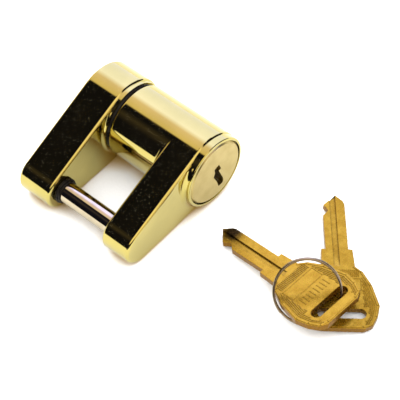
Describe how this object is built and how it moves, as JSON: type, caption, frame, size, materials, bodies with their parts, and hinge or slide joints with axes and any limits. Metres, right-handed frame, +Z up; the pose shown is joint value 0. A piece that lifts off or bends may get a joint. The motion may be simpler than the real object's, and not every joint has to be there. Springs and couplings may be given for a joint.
{
  "type": "trailer coupler lock",
  "caption": "Locking shackle for a trailer coupler latch: barrel with a keyed end, fixed arm, pull-out arm carrying a round pin, with flat keys on a split ring.",
  "frame": {"origin": "middle of the bare length of the shackle pin, on the pin's axis", "axes": "+X along the shackle pin and the barrel towards the keyed face, +Y from the pin towards the barrel, +Z up with the lock lying on its flat side"},
  "size_m": [0.1068, 0.0564, 0.0242],
  "materials": {
    "plated_casting": "polished brass plate on a zinc casting",
    "satin_brass": "satin brass",
    "key_brass": "tumbled brass with a fine stamped pattern",
    "wafer_brass": "stamped",
    "bright_steel": "bright",
    "plain_steel": "machined",
    "cast_zinc": null,
    "rubber": "smooth black"
  },
  "bodies": {
    "lock_body": {"lock_body": "plated_casting", "cylinder_sleeve": "cast_zinc", "body_roll_pins": "plain_steel", "bolt_guide": "cast_zinc", "face_seal": "rubber"},
    "sliding_arm": {"sliding_arm": "plated_casting", "locking_stem": "plain_steel", "stem_roll_pin": "plain_steel", "shackle_pin": "bright_steel", "pin_o_ring": "rubber", "barrel_o_ring": "rubber"},
    "plug": {"lock_plug": "cast_zinc", "plug_face": "satin_brass", "bolt_cam": "plain_steel", "cam_screw": "plain_steel", "wafer_springs_upper": "plain_steel", "wafer_springs_lower": "plain_steel"},
    "wafers_up": {"wafers_upper": "wafer_brass"},
    "wafers_down": {"wafers_lower": "wafer_brass"},
    "bolt": {"locking_bolt": "plain_steel", "bolt_follower": "plain_steel"},
    "ring": {"split_ring": "bright_steel"},
    "front_key": {"key_front": "key_brass"},
    "rear_key": {"key_rear": "key_brass"}
  },
  "joints": [
    {"name": "arm_slide", "type": "slide", "parent": "lock_body", "child": "sliding_arm", "axis": [-1, 0, 0], "range_m": [0, 0.05]},
    {"name": "plug_turn", "type": "hinge", "parent": "lock_body", "child": "plug", "pos_m": [0.01, 0.0289, 0.0059], "axis": [1, 0, 0], "range_deg": [0, 90]},
    {"name": "bolt_slide", "type": "slide", "parent": "lock_body", "child": "bolt", "axis": [0, 0, -1], "range_m": [0, 0.0016]},
    {"name": "wafers_up_slide", "type": "slide", "parent": "plug", "child": "wafers_up", "axis": [0, 0, -1], "range_m": [0, 0.0005]},
    {"name": "wafers_down_slide", "type": "slide", "parent": "plug", "child": "wafers_down", "axis": [0, 0, 1], "range_m": [0, 0.0005]},
    {"name": "ring_lift", "type": "slide", "parent": "lock_body", "child": "ring", "axis": [0, 0, 1], "range_m": [0, 0.1]},
    {"name": "front_key_swing", "type": "hinge", "parent": "ring", "child": "front_key", "pos_m": [0.06612, 0.01649, 0.00148], "axis": [0.4875, -0.5724, 0.6593], "range_deg": [-4, 8]},
    {"name": "rear_key_swing", "type": "hinge", "parent": "ring", "child": "rear_key", "pos_m": [0.06612, 0.01649, 0.00148], "axis": [0.4875, -0.5724, 0.6593], "range_deg": [-8, 4]}
  ],
  "couplings": [
    {"joint": "bolt_slide", "follows": "plug_turn", "m_per_rad": 0.0010186},
    {"joint": "wafers_down_slide", "follows": "wafers_up_slide", "ratio": 1}
  ]
}
